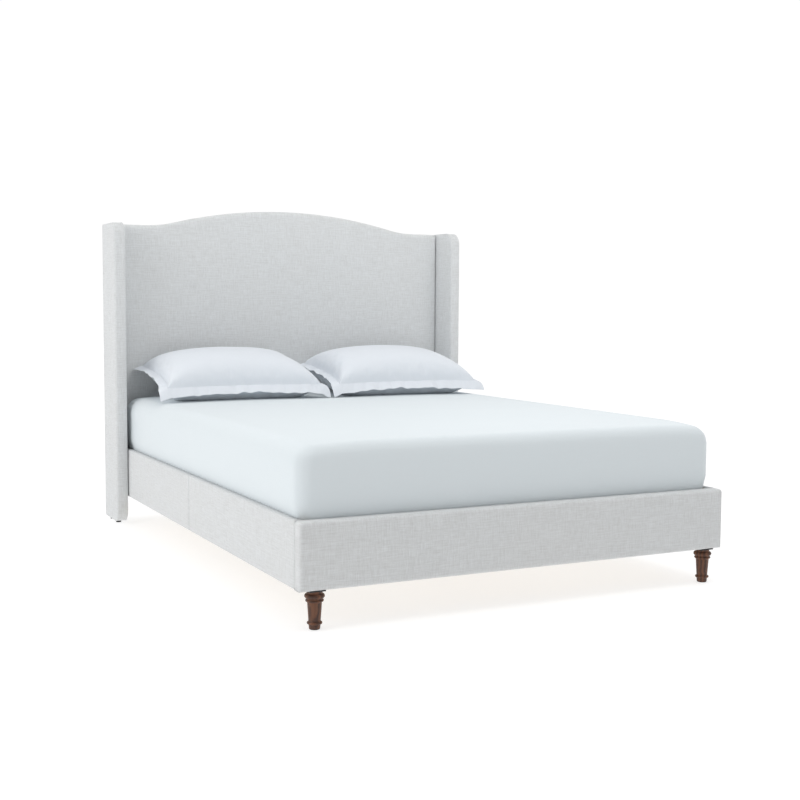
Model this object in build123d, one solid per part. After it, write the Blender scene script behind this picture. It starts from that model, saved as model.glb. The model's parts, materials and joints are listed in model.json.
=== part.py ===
from build123d import *
import os
from math import acos, cos, sin

# Queen bed with a camelback headboard between two side wings, upholstered rails and turned
# feet, dressed with a mattress, a fitted sheet and two flanged pillows.
# Millimetres. +Z is up, +Y runs from foot to head, the origin is on the floor under the middle.

# ---- driving dimensions ----------------------------------------------------------------------
overall_length = 2182.0     # foot rail's face to the back of the wings
frame_width = 1580.0        # over the two side rails
rail_bottom = 119.0         # clear height under the rails
rail_height = 207.0
side_rail_thickness = 25.0
foot_rail_thickness = 44.0
rail_split = 1095.0         # from the foot rail's face to the joint in each side rail

wing_span = 1686.0          # over the two wings
wing_thickness = 48.5
wing_depth = 211.0
wing_bottom = 10.0
wing_top = 1304.0
wing_corner_radius = 55.0   # front top and front bottom corners, seen from the side

headboard_thickness = 62.0
shoulder_height = 1304.0    # flat ends of the camelback
crown_rise = 82.0           # from the shoulders to the top of the arch
crown_radius = 2200.0
reverse_radius = 550.0      # the hollow curves between arch and shoulders

cloth = 1.5                 # upholstery fabric
mattress_width = 1524.0
mattress_length = 2055.0    # a queen mattress, full at the seams
mattress_top = 550.0
mattress_gap = 4.0          # between the foot rail and the mattress
clearance = 0.3             # between pieces that lift off and what they rest on

slat_count = 14
slat_width = 70.0
slat_thickness = 18.0
slat_seat = 227.0           # top of the ledges and of the centre beam

leg_spread = 731.0          # centre of each turned foot from the middle
leg_setback = 31.0          # centre of each turned foot from the foot rail's face

# ---- values that follow ----------------------------------------------------------------------
foot_face = -overall_length / 2
back_face = overall_length / 2
foot_inner = foot_face + foot_rail_thickness
rail_face = frame_width / 2
rail_inner = rail_face - side_rail_thickness
rail_top = rail_bottom + rail_height
split = foot_face + rail_split
wing_front = back_face - wing_depth
wing_outer = wing_span / 2
wing_inner = wing_outer - wing_thickness
headboard_face = back_face - headboard_thickness
rail_head_end = headboard_face - 2.0
mattress_foot = foot_inner + mattress_gap
mattress_head = mattress_foot + mattress_length
mattress_side = mattress_width / 2
slat_bottom = slat_seat + clearance
slat_top = slat_bottom + slat_thickness
mattress_bottom = slat_top + clearance

bolt_radius = 4.0
bolt_head_radius = 8.0
bolt_head_height = 5.0
screw_radius = 2.5
screw_head_radius = 5.0
plate_screw_radius = 2.0
leg_bolt_radius = 3.0
leg_bolt_head_radius = 6.0


# ---- helpers ---------------------------------------------------------------------------------
def block(box):
    """A box from its low and high corners: (x0, x1, y0, y1, z0, z1)."""
    x0, x1, y0, y1, z0, z1 = box
    centre = ((x0 + x1) / 2, (y0 + y1) / 2, (z0 + z1) / 2)
    return Box(x1 - x0, y1 - y0, z1 - z0).moved(Location(centre))


def shrink(box, left=0.0, right=0.0, front=0.0, back=0.0, down=0.0, up=0.0):
    """The same box with each face moved inwards."""
    x0, x1, y0, y1, z0, z1 = box
    return (x0 + left, x1 - right, y0 + front, y1 - back, z0 + down, z1 - up)


def rod(radius, start, end):
    """A round bar between two points."""
    path = Vector(*end) - Vector(*start)
    plane = Plane(origin=start, z_dir=path)
    return extrude(plane * Circle(radius), amount=path.length)


def bolt(head_at, tip, radius=bolt_radius, head_radius=bolt_head_radius):
    """A bolt whose head's underside is at head_at and whose thread ends at tip."""
    way = (Vector(*tip) - Vector(*head_at)).normalized()
    head_end = Vector(*head_at) - way * bolt_head_height
    shank = rod(radius, head_at, tip)
    head = rod(head_radius, tuple(head_end), head_at)
    return head + shank


def other_side(part):
    """The same part on the bed's other side."""
    return mirror(part, about=Plane.YZ)


def cut(part, tools):
    """The part with every tool taken out of it."""
    for tool in tools:
        part = part - tool
    return part


def save(node, *solids):
    """Write one node, a single solid or a group of separate solids."""
    shape = solids[0] if len(solids) == 1 else Compound(children=list(solids))
    export_step(shape, f"parts/{node}.step")


os.makedirs("parts", exist_ok=True)


# ---- headboard -------------------------------------------------------------------------------
headboard_half = wing_inner - 0.5


def camelback(inset, y_front, y_back):
    """A plate with the headboard's outline, moved in by inset all round."""
    turn = acos(1 - crown_rise / (crown_radius + reverse_radius))
    crown_centre = shoulder_height + crown_rise - crown_radius
    hollow_x = (crown_radius + reverse_radius) * sin(turn)
    hollow_centre = shoulder_height + reverse_radius
    crown = crown_radius - inset
    hollow = reverse_radius + inset
    half = headboard_half - inset
    low = rail_bottom + inset
    high = shoulder_height - inset

    def at(x, z):
        return (x, y_front, z)

    def on_crown(angle):
        return at(crown * sin(angle), crown_centre + crown * cos(angle))

    def on_hollow(angle, side):
        return at(side * (hollow_x - hollow * sin(angle)), hollow_centre - hollow * cos(angle))

    outline = [
        Line(at(-half, low), at(half, low)),
        Line(at(half, low), at(half, high)),
        Line(at(half, high), on_hollow(0, 1)),
        ThreePointArc(on_hollow(0, 1), on_hollow(turn / 2, 1), on_crown(turn)),
        ThreePointArc(on_crown(turn), on_crown(0), on_crown(-turn)),
        ThreePointArc(on_crown(-turn), on_hollow(turn / 2, -1), on_hollow(0, -1)),
        Line(on_hollow(0, -1), at(-half, high)),
        Line(at(-half, high), at(-half, low)),
    ]
    return extrude(make_face(outline), amount=y_back - y_front, dir=(0, 1, 0))


def soft_top(plate, radius):
    """Round the plate's front edge where it is above the wings' middle."""
    front = plate.faces().sort_by(Axis.Y)[0]
    edges = [e for e in front.edges() if e.center().Z > wing_top - 40]
    return fillet(edges, radius)


head_pad_inset = 12.0
head_pad_depth = 28.0
panel_thickness = 9.0
cloth_on_back = 1.2
panel_front = headboard_face + cloth + head_pad_depth
panel_back = panel_front + panel_thickness
timber_back = back_face - cloth_on_back

stile_width = 60.0
stile_count = 7
top_member_low = 1214.0
member_height = 70.0
middle_member_low = 640.0

cover_top_radius = 21.5
back_cloth_inset = 3.0
inner_inset = cloth + head_pad_inset
panel = camelback(inner_inset, panel_front, panel_back)
timber_plate = camelback(inner_inset, panel_back, timber_back)
pad = soft_top(camelback(cloth, headboard_face + cloth, timber_back), cover_top_radius - cloth)
head_foam = pad - panel - timber_plate
head_cover = soft_top(camelback(0, headboard_face, timber_back), cover_top_radius) - pad
back_cloth = camelback(back_cloth_inset, timber_back, back_face)


def headboard_timbers():
    """Seven uprights between a bottom, a middle and a shaped top member."""
    half = headboard_half - inner_inset
    low = rail_bottom + inner_inset
    far = 10 * back_face
    top = timber_plate & block((-far, far, -far, far, top_member_low, far))
    timbers = [top]
    timbers.append(block((-half, half, panel_back, timber_back, low, low + member_height)))
    pitch = (2 * half - stile_width) / (stile_count - 1)
    middle_high = middle_member_low + member_height
    for i in range(stile_count):
        x0 = -half + i * pitch
        x1 = x0 + stile_width
        lower = (x0, x1, panel_back, timber_back, low + member_height, middle_member_low)
        upper = (x0, x1, panel_back, timber_back, middle_high, top_member_low)
        timbers.append(block(lower))
        timbers.append(block(upper))
    timbers.append(
        block((-half, half, panel_back, timber_back, middle_member_low, middle_high))
    )
    return timbers


# ---- wings -----------------------------------------------------------------------------------
def wing_solid(inset, x0, x1, edge_radius):
    """The right wing's side profile between two planes, with its long edges rounded."""
    y0 = wing_front + inset
    z0 = wing_bottom + inset
    z1 = wing_top - inset
    corner = wing_corner_radius - inset
    length = back_face - y0
    height = z1 - z0
    profile = Plane.YZ.offset(x0) * Pos((y0 + back_face) / 2, (z0 + z1) / 2) * Rectangle(length, height)
    solid = extrude(profile, amount=x1 - x0)
    front_edges = solid.edges().filter_by(Axis.X).group_by(Axis.Y)[0]
    solid = fillet(front_edges, corner)
    if edge_radius:
        rim = [
            e
            for e in solid.faces().sort_by(Axis.X)[0].edges() + solid.faces().sort_by(Axis.X)[-1].edges()
            if e.center().Y < back_face - 1
        ]
        solid = fillet(rim, edge_radius)
    return solid


wing_pad_side = 13.75
wing_pad_front = 20.0
wing_edge_radius = 9.0
wing_outside = wing_solid(0, wing_inner, wing_outer, wing_edge_radius)
wing_inside = wing_solid(cloth, wing_inner + cloth, wing_outer - cloth, wing_edge_radius - cloth)
wing_core_inset = cloth + wing_pad_front
wing_core = wing_solid(
    wing_core_inset, wing_inner + cloth + wing_pad_side, wing_outer - cloth - wing_pad_side, 0
)
# the board stands on the bottom edge of the pad, so that the glides bear on timber
wing_board_low = block(
    (
        wing_inner + cloth + wing_pad_side,
        wing_outer - cloth - wing_pad_side,
        wing_front + wing_corner_radius + 10,
        back_face - cloth,
        wing_bottom,
        wing_bottom + wing_corner_radius,
    )
)
wing_board = (wing_core + wing_board_low) - block(
    (wing_inner, wing_outer, back_face - cloth, back_face + 10, 0, wing_top)
)
wing_back_trim = block((wing_inner, wing_outer, back_face - cloth, back_face + 10, 0, wing_top))
wing_foam = wing_inside - wing_board - wing_back_trim
wing_cover = wing_outside - (wing_inside - wing_back_trim) - wing_board_low

glide_radius = 11.0
wing_glide_places = (wing_front + wing_corner_radius + 25.0, back_face - 30.0)
wing_board_middle = (wing_inner + wing_outer) / 2


# ---- rails -----------------------------------------------------------------------------------
side_rail_edge = 8.0
foot_rail_edge = 12.0


def side_rail(y0, y1):
    """Board, padding and cover of one length of the left side rail."""
    outer = (-rail_face, -rail_inner, y0, y1, rail_bottom, rail_top)
    padded = shrink(outer, left=cloth, front=cloth, back=cloth, down=cloth, up=cloth)
    board = shrink(padded, left=5.0, down=3.0, up=3.0)

    def rounded(box, radius):
        solid = block(box)
        long_edges = solid.edges().filter_by(Axis.Y).group_by(Axis.X)[0]
        return fillet(long_edges, radius)

    filling = rounded(padded, side_rail_edge - cloth)
    cover = rounded(outer, side_rail_edge) - filling
    padding = filling - block(board)
    return block(board), padding, cover


def foot_rail():
    """Board, padding and cover of the foot rail, which turns the corners of the bed."""
    outer = (-rail_face, rail_face, foot_face, foot_inner, rail_bottom, rail_top)
    padded = shrink(outer, left=cloth, right=cloth, front=cloth, down=cloth, up=cloth)
    board = shrink(padded, left=6.0, right=6.0, front=14.0, down=3.0, up=6.0)

    def rounded(box, radius):
        solid = block(box)
        edges = solid.faces().sort_by(Axis.Y)[0].edges()
        return fillet(edges, radius)

    filling = rounded(padded, foot_rail_edge - cloth)
    cover = rounded(outer, foot_rail_edge) - filling
    padding = filling - block(board)
    return block(board), padding, cover


# ---- turned feet -----------------------------------------------------------------------------
plate_thickness = 3.0
leg_top = rail_bottom - plate_thickness
leg_glide_height = 2.0


def turned_leg():
    """The foot's half profile, from the floor up: pad, bead, tapered shaft, two rings, neck."""
    line = [
        Line((0, leg_glide_height), (16.8, leg_glide_height)),
        Line((16.8, leg_glide_height), (17.8, 13.5)),
        Line((17.8, 13.5), (19.5, 15.5)),
        ThreePointArc((19.5, 15.5), (23.2, 19.5), (19.5, 23.5)),
        Line((19.5, 23.5), (18.4, 26.0)),
        Line((18.4, 26.0), (22.0, 79.0)),
        ThreePointArc((22.0, 79.0), (23.0, 82.0), (25.0, 83.5)),
        ThreePointArc((25.0, 83.5), (27.6, 87.0), (25.0, 90.5)),
        Line((25.0, 90.5), (25.0, 93.5)),
        ThreePointArc((25.0, 93.5), (30.6, 100.5), (25.0, 107.5)),
        ThreePointArc((25.0, 107.5), (23.6, 111.5), (25.0, leg_top)),
        Line((25.0, leg_top), (0, leg_top)),
        Line((0, leg_top), (0, leg_glide_height)),
    ]
    lifted = [Plane.XZ * edge for edge in line]
    return revolve(make_face(lifted), Axis.Z)


# ---- soft goods ------------------------------------------------------------------------------
sheet_thickness = 1.2
comfort_height = 50.0
mattress_corner = 50.0
mattress_edge = 45.0


def mattress_block(inset, z0, z1):
    """A slab with the mattress's plan and with round upright corners and top edges."""
    slab = block(
        (
            -mattress_side + inset,
            mattress_side - inset,
            mattress_foot + inset,
            mattress_head - inset,
            z0,
            z1,
        )
    )
    slab = fillet(slab.edges().filter_by(Axis.Z), mattress_corner - inset)
    return fillet(slab.faces().sort_by(Axis.Z)[-1].edges(), mattress_edge - inset)


pillow_width = 748.0
pillow_depth = 545.0
pillow_height = 194.0
pillow_flange = 50.0
pillow_tilt = 12.0
pillow_centres = {"left": -373.0, "right": 395.0}
pillow_centre_y = foot_face + 1845.0
sham_thickness = 1.5
flange_thickness = 5.0
flange_corner = 18.0


def plump(skin):
    """A filled cushion, thickest in the middle, as a stack of shrinking rounded sections."""
    levels = [-0.98, -0.85, -0.6, -0.3, 0.0, 0.3, 0.6, 0.85, 0.98]
    half = pillow_height / 2 - sham_thickness + skin
    sections = []
    for level in levels:
        fullness = (1 - abs(level) ** 2.4) ** 0.55
        width = (pillow_width - 2 * pillow_flange) * (0.30 + 0.70 * fullness) + 2 * skin
        depth = (pillow_depth - 2 * pillow_flange) * (0.25 + 0.75 * fullness) + 2 * skin
        corner = 0.2 * depth
        sections.append(Pos(0, 0, level * half) * RectangleRounded(width, depth, corner))
    return loft(sections, ruled=True)


def place_pillow(part, centre_x, lift):
    """Lean the pillow back towards the headboard and stand it on the mattress."""
    return Pos(centre_x, pillow_centre_y, lift) * Rot(pillow_tilt, 0, 0) * part


def pillow_pair(centre_x):
    """The filled insert and the flanged sham around it."""
    insert = plump(0.0)
    skin = plump(sham_thickness)
    flange = RectangleRounded(pillow_width, pillow_depth, flange_corner)
    border = extrude(Pos(0, 0, -flange_thickness / 2) * flange, amount=flange_thickness)
    slit_half, slit_front, slit_back = 200.0, 120.0, 126.0
    slit = block((-slit_half, slit_half, slit_front, slit_back, -pillow_height, 0.0))
    sham = (skin + border) - insert - (slit - border)
    low = (Rot(pillow_tilt, 0, 0) * (skin + border)).bounding_box().min.Z
    lift = mattress_top + clearance - low
    return place_pillow(insert, centre_x, lift), place_pillow(sham, centre_x, lift)


# ---- build: joinery first, because its bolts pass through the upholstered parts ---------------
block_size = 76.0
corner_block_top = 224.0
ledge_thickness = 20.0
ledge_height = 40.0
ledge_low = slat_seat - ledge_height
bracket_low = 128.0
bracket_high = 183.0
bracket_leg = 60.0
bracket_steel = 3.0
bolt_bite = 10.0
bolt_heights = (bracket_low + 14.0, bracket_high - 14.0)

# left front corner: a timber block bolted to both rails
left_block_box = (
    -rail_inner,
    -rail_inner + block_size,
    foot_inner,
    foot_inner + block_size,
    rail_bottom,
    corner_block_top,
)
side_bolt_y = foot_inner + 24.0
foot_bolt_x = -rail_inner + 50.0
foot_bolt_lift = 16.0       # keeps the two directions of bolt clear of each other
corner_bolts = []
for z in bolt_heights:
    x_in = left_block_box[1]
    y_in = left_block_box[3]
    corner_bolts.append(bolt((x_in, side_bolt_y, z), (-rail_inner - bolt_bite, side_bolt_y, z)))
    x_bolt = foot_bolt_x
    z_bolt = z + foot_bolt_lift
    corner_bolts.append(bolt((x_bolt, y_in, z_bolt), (x_bolt, foot_inner - bolt_bite, z_bolt)))

# left splice: a steel plate across the joint in the side rail
splice_reach = 110.0
splice_bolt_places = (-85.0, -35.0, 35.0, 85.0)
plate_box = (
    -rail_inner,
    -rail_inner + bracket_steel,
    split - splice_reach,
    split + splice_reach,
    bracket_low,
    bracket_high,
)
splice_bolts = []
for z in bolt_heights:
    for along in splice_bolt_places:
        y = split + along
        splice_bolts.append(bolt((plate_box[1], y, z), (-rail_inner - bolt_bite, y, z)))
splice_plate = cut(block(plate_box), splice_bolts)

# left head bracket: a steel angle between the side rail and the headboard
on_rail = (
    -rail_inner,
    -rail_inner + bracket_steel,
    rail_head_end - bracket_leg,
    headboard_face,
    bracket_low,
    bracket_high,
)
on_head = (
    -rail_inner,
    -rail_inner + bracket_leg,
    headboard_face - bracket_steel,
    headboard_face,
    bracket_low,
    bracket_high,
)
head_bolts = []
for z in bolt_heights:
    y_rail = rail_head_end - bracket_leg / 2
    head_bolts.append(bolt((on_rail[1], y_rail, z), (-rail_inner - bolt_bite, y_rail, z)))
    x_head = -rail_inner + bracket_leg / 2 + 8.0
    head_bolts.append(bolt((x_head, on_head[2], z), (x_head, panel_back + bolt_bite, z)))
head_bracket = cut(block(on_rail) + block(on_head), head_bolts)

# wing bolts: from inside the headboard's outer uprights into each wing's board
wing_bolt_heights = (250.0, 700.0, 1150.0)
wing_bolt_y = (panel_back + timber_back) / 2
wing_bolts = []
for z in wing_bolt_heights:
    x_head = -(headboard_half - inner_inset - stile_width)
    x_tip = -(wing_inner + cloth + wing_pad_side + bolt_bite)
    wing_bolts.append(bolt((x_head, wing_bolt_y, z), (x_tip, wing_bolt_y, z)))

# centre beam, its sockets, side plates, legs and levelling feet
beam_half = 30.0
beam_low = 182.0
socket_steel = 3.0
socket_reach = 45.0
socket_play = 1.0
socket_ear = 22.0           # back plate beyond the beam, each side
socket_up = 34.0
socket_down = 20.0
centre_leg_half = 20.0
centre_leg_low = 22.0
centre_leg_places = (foot_face + 610.0, split, foot_face + 1640.0)
foot_stem_radius = 5.0
foot_stem_top = 46.0
foot_disc_radius = 18.0
foot_disc_height = 6.0
foot_disc_edge = 2.0
foot_bore_play = 0.4
foot_bore_spare = 16.0      # depth above the stem that lets the foot wind in
centre_leg_edge = 3.0


def beam_socket(face, direction):
    """A steel saddle fixed to a rail's inside face; the beam's end drops into it."""
    reach = face + direction * socket_reach
    y0, y1 = min(face, reach), max(face, reach)
    side = beam_half + socket_play
    wide = side + socket_ear
    low = beam_low - socket_steel
    high = beam_low + socket_up
    plate = sorted((face, face + direction * socket_steel))
    back = block((-wide, wide, plate[0], plate[1], beam_low - socket_down, high))
    floor = block((-side, side, y0, y1, low, beam_low))
    left = block((-side - socket_steel, -side, y0, y1, low, high))
    right = block((side, side + socket_steel, y0, y1, low, high))
    return back + floor + left + right


def socket_screws(face, direction):
    """Two screws through the saddle's back plate, one each side of the beam."""
    start = face + direction * socket_steel
    deep = face - direction * 16.0
    z = beam_low + 8.0
    screws = []
    for side in (-1, 1):
        x = side * (beam_half + 12.0)
        screws.append(bolt((x, start, z), (x, deep, z), screw_radius, screw_head_radius))
    return screws


foot_screws = socket_screws(foot_inner, 1)
head_screws = socket_screws(headboard_face, -1)
foot_socket = cut(beam_socket(foot_inner, 1), foot_screws)
head_socket = cut(beam_socket(headboard_face, -1), head_screws)

beam_bolts = []
beam_bolt_z = (beam_low + slat_seat) / 2
for along in (-60.0, 60.0):
    y = split + along
    tip = (beam_half + socket_steel + bolt_head_radius, y, beam_bolt_z)
    beam_bolts.append(bolt((-beam_half - socket_steel, y, beam_bolt_z), tip))
beam_plate_reach = 90.0
beam_plate_margin = 6.0
beam_plates = []
for x0 in (-beam_half - socket_steel, beam_half):
    plate = block(
        (
            x0,
            x0 + socket_steel,
            split - beam_plate_reach,
            split + beam_plate_reach,
            beam_low + beam_plate_margin,
            slat_seat - beam_plate_margin,
        )
    )
    beam_plates.append(cut(plate, beam_bolts))

# two long bolts run down through the beam into each leg; their heads sit in wells
leg_bolt_reach = 50.0
leg_bolt_head_z = slat_seat - bolt_head_height - 1.0
well_radius = leg_bolt_head_radius + 0.5
centre_leg_bolts = []
bolt_wells = []
for y in centre_leg_places:
    for along in (-12.0, 12.0):
        head = (0, y + along, leg_bolt_head_z)
        tip = (0, y + along, beam_low - leg_bolt_reach)
        centre_leg_bolts.append(bolt(head, tip, leg_bolt_radius, leg_bolt_head_radius))
        bolt_wells.append(rod(well_radius, head, (0, y + along, slat_seat + 1)))


def centre_beam(y0, y1):
    beam = block((-beam_half, beam_half, y0, y1, beam_low, slat_seat))
    return cut(beam, beam_bolts + centre_leg_bolts + bolt_wells)


def centre_leg(y):
    leg = block(
        (
            -centre_leg_half,
            centre_leg_half,
            y - centre_leg_half,
            y + centre_leg_half,
            centre_leg_low,
            beam_low,
        )
    )
    leg = chamfer(leg.edges().filter_by(Axis.Z), centre_leg_edge)
    bore_top = foot_stem_top + foot_bore_spare
    bore = rod(foot_stem_radius + foot_bore_play, (0, y, centre_leg_low - 1), (0, y, bore_top))
    return cut(leg, [bore] + centre_leg_bolts)


def levelling_foot(y):
    disc = rod(foot_disc_radius, (0, y, 0), (0, y, foot_disc_height))
    disc = fillet(disc.edges().group_by(Axis.Z)[-1], foot_disc_edge)
    return disc + rod(foot_stem_radius, (0, y, foot_disc_height), (0, y, foot_stem_top))


# ---- build: upholstered parts ----------------------------------------------------------------
head_tools = head_bolts + [other_side(b) for b in head_bolts] + head_screws
head_tools += wing_bolts + [other_side(b) for b in wing_bolts]
save("headboard_frame", *[cut(t, head_tools) for t in headboard_timbers()])
save("headboard_panel", cut(panel, head_tools))
save("headboard_foam", cut(head_foam, head_tools))
save("headboard_cover", cut(head_cover, head_tools))
save("headboard_back_cloth", back_cloth)

right_wing_tools = [other_side(b) for b in wing_bolts]
right_wing = {
    "board": cut(wing_board, right_wing_tools),
    "foam": cut(wing_foam, right_wing_tools),
    "cover": cut(wing_cover, right_wing_tools),
}
for part_name, solid in right_wing.items():
    save(f"wing_{part_name}_right", solid)
    save(f"wing_{part_name}_left", other_side(solid))
right_glides = [
    rod(glide_radius, (wing_board_middle, y, 0), (wing_board_middle, y, wing_bottom))
    for y in wing_glide_places
]
save("wing_glides", *right_glides, *[other_side(g) for g in right_glides])
save("wing_bolts", *wing_bolts, *[other_side(b) for b in wing_bolts])

rail_tools = {
    "foot": corner_bolts + splice_bolts,
    "head": splice_bolts + head_bolts,
}
rail_spans = {
    "foot": (foot_inner, split),
    "head": (split, rail_head_end),
}
for end, (y0, y1) in rail_spans.items():
    for part_name, solid in zip(("board", "padding", "cover"), side_rail(y0, y1)):
        drilled = cut(solid, rail_tools[end])
        save(f"side_rail_{part_name}_left_{end}", drilled)
        save(f"side_rail_{part_name}_right_{end}", other_side(drilled))

save("rail_splice_plates", splice_plate, other_side(splice_plate))
save("rail_splice_bolts", *splice_bolts, *[other_side(b) for b in splice_bolts])
save("head_brackets", head_bracket, other_side(head_bracket))
save("head_bracket_bolts", *head_bolts, *[other_side(b) for b in head_bolts])

ledge_side = (-rail_inner, -rail_inner + ledge_thickness)
foot_ledge = block((*ledge_side, left_block_box[3] + 1, split - 1, ledge_low, slat_seat))
head_ledge = block((*ledge_side, split + 1, rail_head_end - 4, ledge_low, slat_seat))
save("slat_ledges", foot_ledge, head_ledge, other_side(foot_ledge), other_side(head_ledge))

# turned feet with their plates, studs, screws and glides
leg_y = foot_face + leg_setback
plate_half = 26.0
plate_screw_place = 19.0
glide_pad_radius = 15.0
stud_low = 88.0
stud_high = 138.0
left_plate_box = (
    -leg_spread - plate_half,
    -leg_spread + plate_half,
    leg_y - plate_half,
    leg_y + plate_half,
    leg_top,
    rail_bottom,
)
left_stud = rod(bolt_radius, (-leg_spread, leg_y, stud_low), (-leg_spread, leg_y, stud_high))
plate_screws = []
for dx in (-plate_screw_place, plate_screw_place):
    for dy in (-plate_screw_place, plate_screw_place):
        at_plate = (-leg_spread + dx, leg_y + dy, leg_top)
        in_timber = (-leg_spread + dx, leg_y + dy, rail_bottom + 18.0)
        plate_screws.append(rod(plate_screw_radius, at_plate, in_timber))
left_plate = cut(block(left_plate_box), [left_stud] + plate_screws)
left_leg = Pos(-leg_spread, leg_y, 0) * turned_leg() - left_stud
left_glide = rod(glide_pad_radius, (-leg_spread, leg_y, 0), (-leg_spread, leg_y, leg_glide_height))

foot_tools = [left_stud] + plate_screws + corner_bolts
foot_tools += [other_side(t) for t in foot_tools] + foot_screws
for part_name, solid in zip(("board", "padding", "cover"), foot_rail()):
    save(f"foot_rail_{part_name}", cut(solid, foot_tools))

left_corner_block = cut(block(left_block_box), [left_stud] + plate_screws + corner_bolts)
save("foot_corner_blocks", left_corner_block, other_side(left_corner_block))
save("foot_corner_bolts", *corner_bolts, *[other_side(b) for b in corner_bolts])
save("foot_leg_left", left_leg)
save("foot_leg_right", other_side(left_leg))
save("foot_leg_plates", left_plate, other_side(left_plate))
save("foot_leg_studs", left_stud, other_side(left_stud))
leg_screws = plate_screws + [other_side(s) for s in plate_screws]
save("wood_screws", *leg_screws, *foot_screws, *head_screws)
save("foot_leg_glides", left_glide, other_side(left_glide))

save("centre_beam_foot", centre_beam(foot_inner + 4, split - 0.5))
save("centre_beam_head", centre_beam(split + 0.5, headboard_face - 4))
save("centre_beam_sockets", foot_socket, head_socket)
save("centre_splice_plates", *beam_plates)
save("centre_beam_bolts", *beam_bolts, *centre_leg_bolts)
save("centre_legs", *[centre_leg(y) for y in centre_leg_places])
for number, y in enumerate(centre_leg_places, start=1):
    save(f"levelling_foot_{number}", levelling_foot(y))

# ---- slat deck -------------------------------------------------------------------------------
slat_reach = rail_inner - 5.0
slat_start = foot_inner + 22.0
slat_end = 981.0
slat_edge = 2.0
slat_pitch = (slat_end - slat_width - slat_start) / (slat_count - 1)
slats = []
for i in range(slat_count):
    y0 = slat_start + i * slat_pitch
    slat = block((-slat_reach, slat_reach, y0, y0 + slat_width, slat_bottom, slat_top))
    slats.append(fillet(slat.edges().filter_by(Axis.X), slat_edge))
save("slats", *slats)
strap_width = 25.0
strap_thickness = 1.2
strap_x = 400.0
straps = []
for side in (-1, 1):
    x0 = side * strap_x - strap_width / 2
    x1 = x0 + strap_width
    strap_low = slat_bottom - strap_thickness
    straps.append(block((x0, x1, slat_start, slat_end, strap_low, slat_bottom)))
save("slat_straps", *straps)

# ---- mattress, sheet and pillows -------------------------------------------------------------
comfort_low = mattress_top - comfort_height
sheet_outside = mattress_block(0, mattress_bottom, mattress_top)
mattress_inside = mattress_block(sheet_thickness, mattress_bottom, mattress_top - sheet_thickness)
above = block((-wing_span, wing_span, foot_face, back_face, comfort_low, mattress_top))
save("mattress_core", mattress_inside - above)
save("mattress_comfort_layer", mattress_inside & above)
save("fitted_sheet", sheet_outside - mattress_inside)

for side_name, centre_x in pillow_centres.items():
    pillow_insert, pillow_sham = pillow_pair(centre_x)
    save(f"pillow_insert_{side_name}", pillow_insert)
    save(f"pillow_sham_{side_name}", pillow_sham)
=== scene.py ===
import json
import math

import bmesh
import bpy
from mathutils import Matrix, Vector, noise


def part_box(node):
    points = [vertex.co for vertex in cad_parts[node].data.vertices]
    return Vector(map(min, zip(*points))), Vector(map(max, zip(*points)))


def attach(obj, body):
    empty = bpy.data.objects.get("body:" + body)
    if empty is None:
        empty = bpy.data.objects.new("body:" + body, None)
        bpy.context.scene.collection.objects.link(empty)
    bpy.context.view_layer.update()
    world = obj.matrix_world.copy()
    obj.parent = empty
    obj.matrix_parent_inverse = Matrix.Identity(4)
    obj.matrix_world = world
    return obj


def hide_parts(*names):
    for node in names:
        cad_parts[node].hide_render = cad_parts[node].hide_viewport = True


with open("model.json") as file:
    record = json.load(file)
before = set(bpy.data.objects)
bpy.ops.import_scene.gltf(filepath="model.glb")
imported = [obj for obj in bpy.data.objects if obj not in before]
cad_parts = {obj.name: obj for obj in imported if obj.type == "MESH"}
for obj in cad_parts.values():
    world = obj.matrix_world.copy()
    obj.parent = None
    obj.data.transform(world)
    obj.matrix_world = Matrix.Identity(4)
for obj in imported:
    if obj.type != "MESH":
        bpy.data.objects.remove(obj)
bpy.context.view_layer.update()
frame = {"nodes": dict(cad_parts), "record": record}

MM = 0.001

SIDES = ("left", "right")
ENDS = ("foot", "head")
SIGN = {"left": -1, "right": 1}
SLOT_OF = {row["node"]: row["material_slot"] for row in frame["record"]["subparts"]}


# ---- places, read from the frame -------------------------------------------------------------
def box_of(*nodes):
    """The lowest and highest corners of several nodes together."""
    lows, highs = zip(*(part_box(node) for node in nodes))
    low = Vector([min(corner[i] for corner in lows) for i in range(3)])
    high = Vector([max(corner[i] for corner in highs) for i in range(3)])
    return low, high


HEADBOARD_LOW, HEADBOARD_HIGH = box_of("headboard_cover")
SHEET_LOW, SHEET_HIGH = box_of("fitted_sheet")
FOOT_RAIL_LOW, FOOT_RAIL_HIGH = box_of("foot_rail_cover")
MATTRESS_TOP = SHEET_HIGH.z

# the camelback: a long crown arc that runs into a hollow arc at each shoulder
CROWN_RISE = 82 * MM
CROWN_RADIUS = 2200 * MM
HOLLOW_RADIUS = 550 * MM
CROWN_TURN = math.acos(1 - CROWN_RISE / (CROWN_RADIUS + HOLLOW_RADIUS))
SHOULDER_X = (CROWN_RADIUS + HOLLOW_RADIUS) * math.sin(CROWN_TURN)
WING_CORNER = 55 * MM
BOARD_SHOWS = 1.5 * MM    # the covers stop this far short of the boards' bare inner faces


def camelback_rise(x):
    """How far the headboard's top stands above its shoulders."""
    x = abs(x)
    if x >= SHOULDER_X:
        return 0.0
    if x > CROWN_RADIUS * math.sin(CROWN_TURN):
        return HOLLOW_RADIUS - math.sqrt(HOLLOW_RADIUS ** 2 - (SHOULDER_X - x) ** 2)
    return CROWN_RISE - CROWN_RADIUS + math.sqrt(CROWN_RADIUS ** 2 - x * x)


# ---- shader helpers --------------------------------------------------------------------------
def socket(tree, name, direction, kind, value=None):
    """Add a named socket to a node group."""
    made = tree.interface.new_socket(name=name, in_out=direction, socket_type=kind)
    if value is not None:
        made.default_value = value
    return made


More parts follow.
